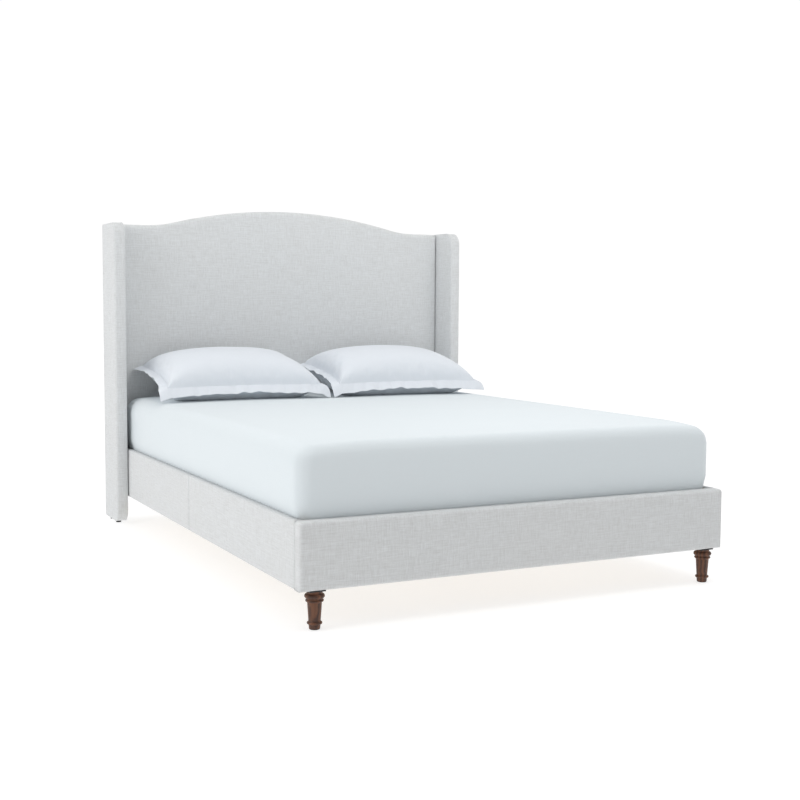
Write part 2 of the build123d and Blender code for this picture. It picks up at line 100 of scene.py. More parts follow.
def node(tree, kind, links=None, **settings):
    """A shader node with its settings, and links from other sockets or plain values."""
    made = tree.nodes.new(kind)
    for key, value in settings.items():
        setattr(made, key, value)
    for key, value in (links or {}).items():
        target = made.inputs[key]
        if isinstance(value, bpy.types.NodeSocket):
            tree.links.new(value, target)
        else:
            target.default_value = value
    return made


def maths(tree, operation, *values):
    """A Math node's result."""
    return node(tree, "ShaderNodeMath", dict(enumerate(values)), operation=operation).outputs[0]


def mixed(tree, factor, one, two):
    """A mix of two colours."""
    links = {0: factor, 6: one, 7: two}
    return node(tree, "ShaderNodeMix", links, data_type="RGBA").outputs[2]


def ranged(tree, value, low, high, to_low, to_high):
    """A value moved from one range to another and held inside it."""
    links = {0: value, 1: low, 2: high, 3: to_low, 4: to_high}
    return node(tree, "ShaderNodeMapRange", links).outputs[0]


def stretched_noise(tree, coordinates, scale, detail=2.0, roughness=0.5):
    """Noise whose grain is longer along one axis than another."""
    stretched = tree.nodes.new("ShaderNodeVectorMath")
    stretched.operation = "MULTIPLY"
    tree.links.new(coordinates, stretched.inputs[0])
    stretched.inputs[1].default_value = scale
    links = {"Vector": stretched.outputs[0], "Scale": 1.0, "Detail": detail, "Roughness": roughness}
    return node(tree, "ShaderNodeTexNoise", links).outputs[0]


def new_group(name):
    """An empty node group with its input and output nodes."""
    tree = bpy.data.node_groups.new(name, "ShaderNodeTree")
    return tree, tree.nodes.new("NodeGroupInput"), tree.nodes.new("NodeGroupOutput")


def grade(r, g, b):
    """An opaque colour."""
    return (r, g, b, 1.0)


# ---- shared effects --------------------------------------------------------------------------
def weave_group():
    """Warp and weft threads with slubs: a height, a shade and a fleck mask."""
    tree, given, result = new_group("woven_threads")
    socket(tree, "Vector", "INPUT", "NodeSocketVector")
    socket(tree, "Threads per metre", "INPUT", "NodeSocketFloat", 900.0)
    socket(tree, "Slub", "INPUT", "NodeSocketFloat", 1.0)
    for name in ("Height", "Shade", "Fleck"):
        socket(tree, name, "OUTPUT", "NodeSocketFloat")
    split = node(tree, "ShaderNodeSeparateXYZ", {0: given.outputs["Vector"]})
    pitch = given.outputs["Threads per metre"]
    across = maths(tree, "MULTIPLY", split.outputs[0], pitch)
    along = maths(tree, "MULTIPLY", split.outputs[1], pitch)
    warp = maths(tree, "SINE", maths(tree, "MULTIPLY", across, math.tau))
    weft = maths(tree, "SINE", maths(tree, "MULTIPLY", along, math.tau))
    crossing = maths(tree, "MULTIPLY", warp, weft)
    slub_warp = stretched_noise(tree, given.outputs["Vector"], (640, 42, 1), 3.0)
    slub_weft = stretched_noise(tree, given.outputs["Vector"], (34, 600, 1), 3.0)
    streak_warp = stretched_noise(tree, given.outputs["Vector"], (230, 15, 1), 2.0)
    streak_weft = stretched_noise(tree, given.outputs["Vector"], (12, 210, 1), 2.0)
    slubs = maths(tree, "ADD", slub_warp, slub_weft)
    streaks = maths(tree, "ADD", streak_warp, streak_weft)
    spread = maths(tree, "ADD", maths(tree, "MULTIPLY", slubs, 0.6), maths(tree, "MULTIPLY", streaks, 0.4))
    centred = maths(tree, "MULTIPLY", maths(tree, "SUBTRACT", spread, 1.0), given.outputs["Slub"])
    shade = maths(tree, "ADD", centred, maths(tree, "MULTIPLY", crossing, 0.05))
    height = maths(tree, "ADD", maths(tree, "MULTIPLY", crossing, 0.5), maths(tree, "MULTIPLY", centred, 1.5))
    fleck = ranged(tree, slub_weft, 0.62, 0.74, 0.0, 1.0)
    tree.links.new(height, result.inputs["Height"])
    tree.links.new(shade, result.inputs["Shade"])
    tree.links.new(fleck, result.inputs["Fleck"])
    return tree


def grain_group():
    """Wood grain along one axis: long fibres, growth rings and pores."""
    tree, given, result = new_group("wood_grain")
    socket(tree, "Vector", "INPUT", "NodeSocketVector")
    socket(tree, "Ring scale", "INPUT", "NodeSocketFloat", 18.0)
    socket(tree, "Distortion", "INPUT", "NodeSocketFloat", 3.0)
    for name in ("Ring", "Fibre", "Pore"):
        socket(tree, name, "OUTPUT", "NodeSocketFloat")
    links = {"Vector": given.outputs["Vector"], "Scale": given.outputs["Ring scale"]}
    links.update({"Distortion": given.outputs["Distortion"], "Detail": 3.0, "Detail Scale": 1.4})
    wave = node(tree, "ShaderNodeTexWave", links, wave_type="RINGS", rings_direction="Z")
    fibre = stretched_noise(tree, given.outputs["Vector"], (260, 260, 7), 4.0, 0.6)
    pore = stretched_noise(tree, given.outputs["Vector"], (900, 900, 30), 1.0)
    tree.links.new(wave.outputs[1], result.inputs["Ring"])
    tree.links.new(fibre, result.inputs["Fibre"])
    tree.links.new(ranged(tree, pore, 0.60, 0.72, 0.0, 1.0), result.inputs["Pore"])
    return tree


def wear_group():
    """Where hands and cleaning reach: soft large blotches and small scuffs."""
    tree, given, result = new_group("handling_wear")
    socket(tree, "Vector", "INPUT", "NodeSocketVector")
    for name in ("Blotch", "Scuff"):
        socket(tree, name, "OUTPUT", "NodeSocketFloat")
    blotch = node(
        tree, "ShaderNodeTexNoise", {"Vector": given.outputs["Vector"], "Scale": 3.1, "Detail": 3.0}
    )
    scuff = node(
        tree, "ShaderNodeTexNoise", {"Vector": given.outputs["Vector"], "Scale": 60.0, "Detail": 5.0}
    )
    tree.links.new(blotch.outputs[0], result.inputs["Blotch"])
    tree.links.new(ranged(tree, scuff.outputs[0], 0.55, 0.75, 0.0, 1.0), result.inputs["Scuff"])
    return tree


WEAVE = weave_group()
GRAIN = grain_group()
WEAR = wear_group()


def start_material(name):
    """A material with its Principled shader, ready for nodes."""
    material = bpy.data.materials.new(name)
    material.use_nodes = True
    tree = material.node_tree
    return material, tree, tree.nodes["Principled BSDF"]


def add_group(tree, group, links):
    """One of the shared effects, with its inputs linked or set."""
    made = tree.nodes.new("ShaderNodeGroup")
    made.node_tree = group
    for key, value in links.items():
        if isinstance(value, bpy.types.NodeSocket):
            tree.links.new(value, made.inputs[key])
        else:
            made.inputs[key].default_value = value
    return made


def add_bump(tree, shader, height, distance, strength=1.0):
    """Relief on a material, from a height."""
    bump = node(
        tree, "ShaderNodeBump", {"Height": height, "Distance": distance, "Strength": strength}
    )
    tree.links.new(bump.outputs[0], shader.inputs["Normal"])


def cloth_map(tree):
    """The piece's own cloth map, in metres along its threads."""
    return node(tree, "ShaderNodeUVMap", uv_map="cloth").outputs[0]


def object_map(tree):
    """Places in metres, fixed to the piece."""
    return node(tree, "ShaderNodeTexCoord").outputs["Object"]


# ---- fabrics ---------------------------------------------------------------------------------
def linen_material():
    """Off-white linen weave with slubs and a faint grey fleck."""
    material, tree, shader = start_material("off_white_linen")
    cloth = cloth_map(tree)
    weave = add_group(tree, WEAVE, {"Vector": cloth, "Threads per metre": 620.0, "Slub": 1.0})
    wear = add_group(tree, WEAR, {"Vector": object_map(tree)})
    shade = ranged(tree, weave.outputs["Shade"], -0.22, 0.22, 0.0, 1.0)
    base = mixed(tree, shade, grade(0.650, 0.660, 0.660), grade(0.815, 0.838, 0.852))
    flecked = mixed(
        tree, maths(tree, "MULTIPLY", weave.outputs["Fleck"], 0.25), base, grade(0.58, 0.57, 0.55)
    )
    blotch = ranged(tree, wear.outputs["Blotch"], 0.3, 0.7, 0.0, 0.08)
    aged = mixed(tree, blotch, flecked, grade(0.72, 0.70, 0.67))
    tree.links.new(aged, shader.inputs["Base Color"])
    tree.links.new(ranged(tree, shade, 0.0, 1.0, 0.95, 0.82), shader.inputs["Roughness"])
    shader.inputs["Sheen Weight"].default_value = 0.25
    shader.inputs["Sheen Roughness"].default_value = 0.5
    shader.inputs["Specular IOR Level"].default_value = 0.25
    add_bump(tree, shader, weave.outputs["Height"], 0.0006, 0.8)
    return material


def cotton_material(name, tint, fold_scale, fold_depth):
    """Fine white percale with soft creases."""
    material, tree, shader = start_material(name)
    cloth = cloth_map(tree)
    weave = add_group(tree, WEAVE, {"Vector": cloth, "Threads per metre": 1500.0, "Slub": 0.12})
    place = object_map(tree)
    crease = node(
        tree,
        "ShaderNodeTexNoise",
        {"Vector": place, "Scale": fold_scale, "Detail": 4.0, "Distortion": 0.8},
    ).outputs[0]
    shade = ranged(tree, weave.outputs["Shade"], -0.12, 0.12, 0.0, 1.0)
    darker = tuple(0.93 * c for c in tint[:3]) + (1.0,)
    base = mixed(tree, shade, darker, tint)
    tree.links.new(base, shader.inputs["Base Color"])
    tree.links.new(ranged(tree, crease, 0.3, 0.7, 0.62, 0.78), shader.inputs["Roughness"])
    shader.inputs["Sheen Weight"].default_value = 0.15
    shader.inputs["Specular IOR Level"].default_value = 0.3
    fine = node(
        tree, "ShaderNodeBump", {"Height": weave.outputs["Height"], "Distance": 0.0001, "Strength": 0.5}
    )
    soft = node(
        tree,
        "ShaderNodeBump",
        {"Height": crease, "Distance": fold_depth, "Strength": 0.6, "Normal": fine.outputs[0]},
    )
    tree.links.new(soft.outputs[0], shader.inputs["Normal"])
    return material


def ticking_material():
    """The mattress's own knitted cover, with quilted diamonds whose sunken grooves carry painted shade."""
    material, tree, shader = start_material("knitted_ticking")
    cloth = cloth_map(tree)
    split = node(tree, "ShaderNodeSeparateXYZ", {0: cloth})
    total = maths(tree, "ADD", split.outputs[0], split.outputs[1])
    difference = maths(tree, "SUBTRACT", split.outputs[0], split.outputs[1])
    one = maths(tree, "ABSOLUTE", maths(tree, "SINE", maths(tree, "MULTIPLY", total, 36.0)))
    two = maths(tree, "ABSOLUTE", maths(tree, "SINE", maths(tree, "MULTIPLY", difference, 36.0)))
    quilt = maths(tree, "POWER", maths(tree, "MULTIPLY", one, two), 0.4)
    weave = add_group(tree, WEAVE, {"Vector": cloth, "Threads per metre": 800.0, "Slub": 0.3})
    # the grooves along the quilting, where the relief sinks, are coloured darker: painted shade in the
    # recesses
    base = mixed(tree, quilt, grade(0.66, 0.66, 0.64), grade(0.86, 0.86, 0.83))
    tree.links.new(base, shader.inputs["Base Color"])
    tree.links.new(ranged(tree, quilt, 0.0, 1.0, 0.95, 0.8), shader.inputs["Roughness"])
    height = maths(tree, "ADD", quilt, maths(tree, "MULTIPLY", weave.outputs["Height"], 0.05))
    add_bump(tree, shader, height, 0.004, 0.7)
    return material


def back_cloth_material():
    """Black spun-bonded cloth with its embossed dots."""
    material, tree, shader = start_material("black_back_cloth")
    cloth = cloth_map(tree)
    dots = node(
        tree,
        "ShaderNodeTexVoronoi",
        {"Vector": cloth, "Scale": 420.0, "Randomness": 0.15},
        feature="F1",
    ).outputs["Distance"]
    mask = ranged(tree, dots, 0.18, 0.30, 1.0, 0.0)
    fibres = node(
        tree, "ShaderNodeTexNoise", {"Vector": cloth, "Scale": 900.0, "Detail": 4.0}
    ).outputs[0]
    shade = maths(tree, "ADD", maths(tree, "MULTIPLY", fibres, 0.8), maths(tree, "MULTIPLY", mask, 0.3))
    base = mixed(tree, shade, grade(0.012, 0.012, 0.013), grade(0.055, 0.055, 0.058))
    tree.links.new(base, shader.inputs["Base Color"])
    tree.links.new(ranged(tree, mask, 0.0, 1.0, 0.92, 0.55), shader.inputs["Roughness"])
    add_bump(tree, shader, maths(tree, "SUBTRACT", fibres, mask), 0.0003, 0.8)
    return material


def webbing_material():
    """Cream slat webbing with a ribbed weave."""
    material, tree, shader = start_material("slat_webbing")
    weave = add_group(
        tree, WEAVE, {"Vector": cloth_map(tree), "Threads per metre": 450.0, "Slub": 0.6}
    )
    shade = ranged(tree, weave.outputs["Shade"], -0.2, 0.2, 0.0, 1.0)
    base = mixed(tree, shade, grade(0.50, 0.47, 0.40), grade(0.78, 0.75, 0.66))
    tree.links.new(base, shader.inputs["Base Color"])
    tree.links.new(ranged(tree, shade, 0.0, 1.0, 0.95, 0.75), shader.inputs["Roughness"])
    add_bump(tree, shader, weave.outputs["Height"], 0.0008)
    return material


# ---- woods -----------------------------------------------------------------------------------
def wood_material(name, dark, light, turn, rings, roughness, pore_share=0.3, coat=0.0):
    """Straight-grained wood; turn lays the grain along the piece."""
    material, tree, shader = start_material(name)
    mapping = node(tree, "ShaderNodeMapping", {"Vector": object_map(tree), "Rotation": turn})
    grain = add_group(
        tree, GRAIN, {"Vector": mapping.outputs[0], "Ring scale": rings, "Distortion": 3.5}
    )
    ring = maths(tree, "MULTIPLY", grain.outputs["Ring"], 0.55)
    fibre = maths(tree, "MULTIPLY", grain.outputs["Fibre"], 0.6)
    figure = maths(tree, "ADD", ring, fibre)
    base = mixed(tree, ranged(tree, figure, 0.15, 0.95, 0.0, 1.0), light, dark)
    pores = maths(tree, "MULTIPLY", grain.outputs["Pore"], pore_share)
    pored = mixed(tree, pores, base, tuple(0.4 * c for c in dark[:3]) + (1.0,))
    wear = add_group(tree, WEAR, {"Vector": object_map(tree)})
    scuffed = mixed(tree, maths(tree, "MULTIPLY", wear.outputs["Scuff"], 0.12), pored, light)
    tree.links.new(scuffed, shader.inputs["Base Color"])
    low, high = roughness
    tree.links.new(ranged(tree, grain.outputs["Fibre"], 0.3, 0.7, low, high), shader.inputs["Roughness"])
    shader.inputs["Coat Weight"].default_value = coat
    shader.inputs["Coat Roughness"].default_value = 0.25
    height = maths(tree, "SUBTRACT", grain.outputs["Fibre"], grain.outputs["Pore"])
    add_bump(tree, shader, height, 0.0004, 0.5)
    return material


def plywood_material(name):
    """Birch ply: a plain face with thin veneer lines on the edges."""
    material, tree, shader = start_material(name)
    place = object_map(tree)
    split = node(tree, "ShaderNodeSeparateXYZ", {0: place})
    plies = maths(tree, "SINE", maths(tree, "MULTIPLY", split.outputs[1], 4200.0))
    face = stretched_noise(tree, place, (9, 90, 90), 4.0, 0.6)
    shade = maths(tree, "ADD", maths(tree, "MULTIPLY", face, 0.8), maths(tree, "MULTIPLY", plies, 0.08))
    base = mixed(tree, shade, grade(0.42, 0.29, 0.16), grade(0.78, 0.62, 0.42))
    tree.links.new(base, shader.inputs["Base Color"])
    tree.links.new(ranged(tree, face, 0.3, 0.7, 0.55, 0.8), shader.inputs["Roughness"])
    add_bump(tree, shader, face, 0.0004, 0.4)
    return material


# ---- metals and plastics ---------------------------------------------------------------------
def steel_material(name, dark, light, metallic, roughness, scale):
    """Bracket or fastener metal with plating variation and small rubbed scuffs."""
    material, tree, shader = start_material(name)
    wear = add_group(tree, WEAR, {"Vector": object_map(tree)})
    cloud = node(
        tree, "ShaderNodeTexNoise", {"Vector": object_map(tree), "Scale": scale, "Detail": 4.0}
    ).outputs[0]
    base = mixed(tree, ranged(tree, cloud, 0.3, 0.7, 0.0, 1.0), dark, light)
    rubbed = mixed(tree, maths(tree, "MULTIPLY", wear.outputs["Scuff"], 0.3), base, light)
    tree.links.new(rubbed, shader.inputs["Base Color"])
    low, high = roughness
    tree.links.new(ranged(tree, cloud, 0.3, 0.7, low, high), shader.inputs["Roughness"])
    shader.inputs["Metallic"].default_value = metallic
    add_bump(tree, shader, cloud, 0.0002, 0.4)
    return material


def plastic_material():
    """Black moulded plastic with a spark-eroded skin."""
    material, tree, shader = start_material("moulded_black_plastic")
    place = object_map(tree)
    skin = node(tree, "ShaderNodeTexNoise", {"Vector": place, "Scale": 1400.0, "Detail": 2.0}).outputs[0]
    wear = add_group(tree, WEAR, {"Vector": place})
    base = mixed(tree, wear.outputs["Scuff"], grade(0.018, 0.018, 0.019), grade(0.07, 0.07, 0.07))
    tree.links.new(base, shader.inputs["Base Color"])
    tree.links.new(ranged(tree, skin, 0.3, 0.7, 0.42, 0.62), shader.inputs["Roughness"])
    add_bump(tree, shader, skin, 0.0002, 0.4)
    return material


ALONG_X = (0.0, math.radians(90), 0.0)
ALONG_Y = (math.radians(90), 0.0, 0.0)
UPRIGHT = (0.0, 0.0, 0.0)
PINE_DARK = grade(0.48, 0.30, 0.14)
PINE_LIGHT = grade(0.80, 0.62, 0.38)

LINEN = linen_material()
SHEET_COTTON = cotton_material("white_sheet_cotton", grade(0.73, 0.785, 0.812), 2.2, 0.010)
SHAM_COTTON = cotton_material("white_sham_cotton", grade(0.78, 0.82, 0.87), 7.0, 0.005)
TICKING = ticking_material()
BACK_CLOTH = back_cloth_material()
WEBBING = webbing_material()
WALNUT = wood_material(
    "turned_walnut", grade(0.036, 0.011, 0.004), grade(0.165, 0.059, 0.022), UPRIGHT, 24.0,
    (0.42, 0.58), 0.5, 0.06,
)
PINE_UPRIGHT = wood_material("upright_pine", PINE_DARK, PINE_LIGHT, UPRIGHT, 30.0, (0.55, 0.75))
PINE_LONG = wood_material("long_pine", PINE_DARK, PINE_LIGHT, ALONG_Y, 30.0, (0.55, 0.75))
SLAT_WOOD = wood_material(
    "slat_poplar", grade(0.60, 0.44, 0.25), grade(0.86, 0.72, 0.50), ALONG_X, 22.0, (0.5, 0.7), 0.15
)
PLYWOOD = plywood_material("birch_plywood")
BLACK_STEEL = steel_material(
    "black_coated_steel", grade(0.02, 0.02, 0.022), grade(0.06, 0.06, 0.065), 0.3, (0.4, 0.6), 220.0
)
ZINC = steel_material(
    "zinc_plated_steel", grade(0.42, 0.42, 0.40), grade(0.70, 0.69, 0.66), 1.0, (0.25, 0.45), 340.0
)
PLASTIC = plastic_material()

SLOT_FINISH = {
    "walnut": WALNUT,
    "pine": PINE_LONG,
    "slat_wood": SLAT_WOOD,
    "plywood": PLYWOOD,
    "bracket_steel": BLACK_STEEL,
    "zinc_fastener": ZINC,
    "black_plastic": PLASTIC,
}
UPRIGHT_NODES = ("headboard_frame", "centre_legs", "foot_corner_blocks")


def finish_frame_nodes():
    """Give each hard frame node its detailed finish."""
    for name, piece in frame["nodes"].items():
        finish = SLOT_FINISH.get(SLOT_OF[name])
        if name in UPRIGHT_NODES:
            finish = PINE_UPRIGHT
        if finish is None:
            continue
        for index in range(len(piece.material_slots)):
            piece.material_slots[index].material = finish


# ---- mesh helpers ----------------------------------------------------------------------------
def place_mesh(mesh, name, material, smooth=True):
    """An object at the origin, from a mesh."""
    mesh.name = name
    for face in mesh.polygons:
        face.use_smooth = smooth
    piece = bpy.data.objects.new(name, mesh)
    bpy.context.scene.collection.objects.link(piece)
    mesh.materials.clear()
    mesh.materials.append(material)
    return piece


def finish_mesh(mesh_data, name, material, smooth=True):
    """Turn a bmesh into an object at the origin."""
    mesh = bpy.data.meshes.new(name)
    mesh_data.to_mesh(mesh)
    mesh_data.free()
    return place_mesh(mesh, name, material, smooth)


def lay_cloth_map(piece, shift=0.0):
    """Lay the cloth map: metres along the threads, square to each face's main direction."""
    mesh = piece.data
    layer = mesh.uv_layers.new(name="cloth")
    for face in mesh.polygons:
        size = [abs(part) for part in face.normal]
        main = size.index(max(size))
        for loop in face.loop_indices:
            place = mesh.vertices[mesh.loops[loop].vertex_index].co
            if main == 0:
                layer.data[loop].uv = (place.y + shift, place.z)
            elif main == 1:
                layer.data[loop].uv = (place.x + shift, place.z)
            else:
                layer.data[loop].uv = (place.x + shift, place.y)
    return piece


def plain_box(low, high):
    """A cube brought to two corners."""
    shape = bmesh.new()
    bmesh.ops.create_cube(shape, size=1.0)
    bmesh.ops.scale(shape, vec=high - low, verts=shape.verts)
    bmesh.ops.translate(shape, vec=(low + high) / 2, verts=shape.verts)
    return shape


def round_edges(shape, edges, radius, segments):
    """Round some edges of a shape."""
    bmesh.ops.bevel(
        shape, geom=edges, offset=radius, offset_type="OFFSET", segments=segments, profile=0.5,
        affect="EDGES", material=-1,
    )


def rounded_box(low, high, radius, soft_edges, segments):
    """A box whose chosen edges are rounded; the choice reads each edge's middle from the centre."""
    shape = plain_box(low, high)
    centre = (low + high) / 2
    edges = [edge for edge in shape.edges if soft_edges((edge.verts[0].co + edge.verts[1].co) / 2 - centre)]
    round_edges(shape, edges, radius, segments)
    return shape


def slice_into_cells(shape, low, high, cell):
    """Cut a mesh by evenly spaced planes along each axis, so that it can be shaped."""
    for axis in range(3):
        length = high[axis] - low[axis]
        count = max(1, round(length / cell))
        normal = Vector((0, 0, 0))
        normal[axis] = 1.0
        for step in range(1, count):
            point = Vector(low)
            point[axis] = low[axis] + length * step / count
            geometry = shape.verts[:] + shape.edges[:] + shape.faces[:]
            bmesh.ops.bisect_plane(shape, geom=geometry, plane_co=point, plane_no=normal, dist=1e-6)


def swell(shape, low, high, crown, waves=0.0, seed=0.0):
    """Push each face out in a soft crown, with a little unevenness in the stuffing."""
    centre = (low + high) / 2
    half = (high - low) / 2
    for vert in shape.verts:
        rel = [max(-1.0, min(1.0, (vert.co[i] - centre[i]) / half[i])) for i in range(3)]
        shift = Vector((0, 0, 0))
        for axis in range(3):
            others = [i for i in range(3) if i != axis]
            fade = 1.0
            for other in others:
                fade *= 1.0 - rel[other] ** 6
            reach = abs(rel[axis]) ** 12
            bump = noise.noise(Vector(vert.co) * 5.0 + Vector((seed, seed, seed)))
            push = (crown[axis] + waves * bump) * reach * fade
            shift[axis] = math.copysign(push, rel[axis]) if rel[axis] else 0.0
        vert.co += shift


def tube_along(name, points, radius, material):
    """A thin cord of thread or welt along a line of points."""
    curve = bpy.data.curves.new(name, "CURVE")
    curve.dimensions = "3D"
    curve.bevel_depth = radius
    curve.bevel_resolution = 2
    curve.use_fill_caps = True
    spline = curve.splines.new("POLY")
    spline.points.add(len(points) - 1)
    for point, place in zip(spline.points, points):
        point.co = (*place, 1.0)
    holder = bpy.data.objects.new(name + "_line", curve)
    mesh = bpy.data.meshes.new_from_object(holder)
    bpy.data.objects.remove(holder)
    return place_mesh(mesh, name, material)


def small_parts(name, places, size, material):
    """Many small bars in one piece: each place is a centre and the way the bar points."""
    shape = bmesh.new()
    for centre, way in places:
        turn = Vector(way).to_track_quat("X", "Z").to_matrix().to_4x4()
        made = bmesh.ops.create_cube(shape, size=1.0)["verts"]
        bmesh.ops.scale(shape, vec=size, verts=made)
        bmesh.ops.transform(shape, matrix=Matrix.Translation(centre) @ turn, verts=made)
    return finish_mesh(shape, name, material, smooth=False)


# ---- upholstered frame -----------------------------------------------------------------------
PANEL_CELL = 24 * MM
HEADBOARD_DRAWN_IN = 3.5 * MM    # the gap between the headboard's cover and each wing's
CURVE_STARTS = 1080 * MM         # below the shoulders, where the cover begins to follow the camelback
CURVE_FULL = 120 * MM            # below the shoulders, where it follows the camelback fully
RAIL_DRAWN_IN = 1.2 * MM         # each end of a side rail's cover


def upholster(piece, cover, padding):
    """Let a linen piece stand for its cover and padding, on the frame."""
    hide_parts(cover, padding)
    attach(piece, "frame")
    return piece


def make_headboard():
    """The padded camelback panel between the wings."""
    low = HEADBOARD_LOW.copy()
    high = HEADBOARD_HIGH.copy()
    high.z -= CROWN_RISE
    low.x += HEADBOARD_DRAWN_IN
    high.x -= HEADBOARD_DRAWN_IN
    half = (high - low) / 2

    def top_front(middle):
        return middle.z > half.z * 0.9 and middle.y < -half.y * 0.9

    def upright_front(edge):
        one, two = (vert.co for vert in edge.verts)
        in_front = one.y < low.y + MM and two.y < low.y + MM
        return in_front and abs(one.x - two.x) < MM and abs(one.x) > half.x - MM

    shape = rounded_box(low, high, 20 * MM, top_front, 7)
    round_edges(shape, [edge for edge in shape.edges if upright_front(edge)], 8 * MM, 4)
    slice_into_cells(shape, low, high, PANEL_CELL)
    swell(shape, low, high, (0.0, 5 * MM, 0.0), 1.2 * MM, 3.7)
    for vert in shape.verts:
        vert.co.y = min(vert.co.y, high.y)
        risen = (vert.co.z - (high.z - CURVE_STARTS)) / (CURVE_STARTS - CURVE_FULL)
        near_top = max(0.0, min(1.0, risen))
        blend = near_top * near_top * (3 - 2 * near_top)
        vert.co.z += camelback_rise(vert.co.x) * blend
    piece = lay_cloth_map(finish_mesh(shape, "headboard_upholstery", LINEN))
    return upholster(piece, "headboard_cover", "headboard_foam")


def make_wing(side):
    """A wing: outer and inner faces, and a front band that turns two round corners."""
    low, high = box_of(f"wing_cover_{side}")
    shape = plain_box(low, high)
    corners = [
        edge
        for edge in shape.edges
        if all(vert.co.y < low.y + MM for vert in edge.verts)
        and abs(edge.verts[0].co.x - edge.verts[1].co.x) > MM
    ]
    round_edges(shape, corners, WING_CORNER, 12)
    rims = [
        edge
        for edge in shape.edges
        if abs(edge.verts[0].co.x - edge.verts[1].co.x) < MM
        and not all(vert.co.y > high.y - MM for vert in edge.verts)
    ]
    round_edges(shape, rims, 8 * MM, 5)
    slice_into_cells(shape, low, high, PANEL_CELL)
    swell(shape, low, high, (1.2 * MM, 2.5 * MM, 0.0), 0.7 * MM, 9.1)
    for vert in shape.verts:
        vert.co.y = min(vert.co.y, high.y)
    piece = lay_cloth_map(finish_mesh(shape, f"wing_upholstery_{side}", LINEN), 0.31)
    return upholster(piece, f"wing_cover_{side}", f"wing_foam_{side}")


def wing_profile(low, high, inset):
    """The line round a wing's front edge, from the back top to the back bottom."""
    y0 = low.y + inset
    z0, z1 = low.z + inset, high.z - inset
    radius = WING_CORNER - inset
    points = [(high.y, z1)]
    steps = 10
    for step in range(steps + 1):
        angle = math.radians(90) * step / steps
        points.append((y0 + radius - radius * math.sin(angle), z1 - radius + radius * math.cos(angle)))
    for step in range(steps + 1):
        angle = math.radians(90) * step / steps
        points.append((y0 + radius - radius * math.cos(angle), z0 + radius - radius * math.sin(angle)))
    points.append((high.y, z0))
    return points


def make_wing_welt(side):
    """The narrow self welt where the wing's front band meets its inner face."""
    low, high = box_of(f"wing_cover_{side}")
    inner = high.x if side == "left" else low.x
    x = inner + SIGN[side] * 4 * MM
    line = [(x, y, z) for y, z in wing_profile(low, high, 1.5 * MM)]
    piece = tube_along(f"wing_welt_{side}", line, 3 * MM, LINEN)
    lay_cloth_map(piece, 0.7)
    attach(piece, "frame")
    return piece


def make_side_rail(side, end):
    """One length of padded side rail, drawn in slightly at its ends so that the joints show."""
    low, high = box_of(f"side_rail_cover_{side}_{end}")
    low.y += RAIL_DRAWN_IN
    high.y -= RAIL_DRAWN_IN
    if side == "left":
        high.x -= BOARD_SHOWS
    else:
        low.x += BOARD_SHOWS
    centre = (low + high) / 2
    half = (high - low) / 2
    outward = SIGN[side]

    def soft(middle):
        return middle.x * outward > half.x * 0.9

    shape = rounded_box(low, high, 6 * MM, soft, 5)
    slice_into_cells(shape, low, high, 22 * MM)
    for vert in shape.verts:
        rel_y = (vert.co.y - centre.y) / half.y
        rel_z = (vert.co.z - centre.z) / half.z
        if (vert.co.x - centre.x) * outward > half.x * 0.8:
            crown = 1.5 * MM * (1 - rel_y ** 8) * (1 - rel_z ** 4)
            crown += 0.5 * MM * noise.noise(vert.co * 6.0)
            vert.co.x += outward * crown
    piece = lay_cloth_map(finish_mesh(shape, f"side_rail_upholstery_{side}_{end}", LINEN), 0.13)
    return upholster(piece, f"side_rail_cover_{side}_{end}", f"side_rail_padding_{side}_{end}")


def make_foot_rail():
    """The padded foot rail that turns both corners."""
    low, high = FOOT_RAIL_LOW.copy(), FOOT_RAIL_HIGH.copy()
    high.y -= BOARD_SHOWS
    half = (high - low) / 2

    def soft(middle):
        return middle.y < -half.y * 0.9 or (middle.z > half.z * 0.9 and abs(middle.x) > half.x * 0.9)

    shape = rounded_box(low, high, 12 * MM, soft, 6)
    slice_into_cells(shape, low, high, 20 * MM)
    centre = (low + high) / 2
    for vert in shape.verts:
        rel_x = (vert.co.x - centre.x) / half.x
        rel_z = (vert.co.z - centre.z) / half.z
        if vert.co.y < centre.y - half.y * 0.5:
            crown = 2.5 * MM * (1 - rel_x ** 10) * (1 - rel_z ** 4)
            crown += 0.8 * MM * noise.noise(vert.co * 5.0)
            vert.co.y -= crown
    piece = lay_cloth_map(finish_mesh(shape, "foot_rail_upholstery", LINEN), 0.47)
    return upholster(piece, "foot_rail_cover", "foot_rail_padding")


BACK_STAPLE = (10 * MM, 1.1 * MM, 1.1 * MM)
STAPLE_EDGE = 9 * MM
STAPLES_ACROSS = 26
STAPLES_UP = 19


def make_back_cloth():
    """Black cloth stapled over the headboard's back."""
    low, high = box_of("headboard_back_cloth")
    shape = bmesh.new()
    bmesh.ops.create_grid(shape, x_segments=66, y_segments=52, size=0.5)
    for vert in shape.verts:
        u, v = vert.co.x + 0.5, vert.co.y + 0.5
        x = low.x + u * (high.x - low.x)
        top = high.z - CROWN_RISE + camelback_rise(x)
        z = low.z + v * (top - low.z)
        edge = min(u, 1 - u, v, 1 - v)
        slack = 1.0 * MM * min(1.0, edge * 12) * noise.noise(Vector((x * 4, 0, z * 3)))
        vert.co = Vector((x, high.y - 0.6 * MM + slack * 0.5, z))
    bmesh.ops.reverse_faces(shape, faces=shape.faces)
    piece = finish_mesh(shape, "back_cloth", BACK_CLOTH)
    thicken(piece, 0.5 * MM)
    lay_cloth_map(piece)
    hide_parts("headboard_back_cloth")
    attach(piece, "frame")
    return piece


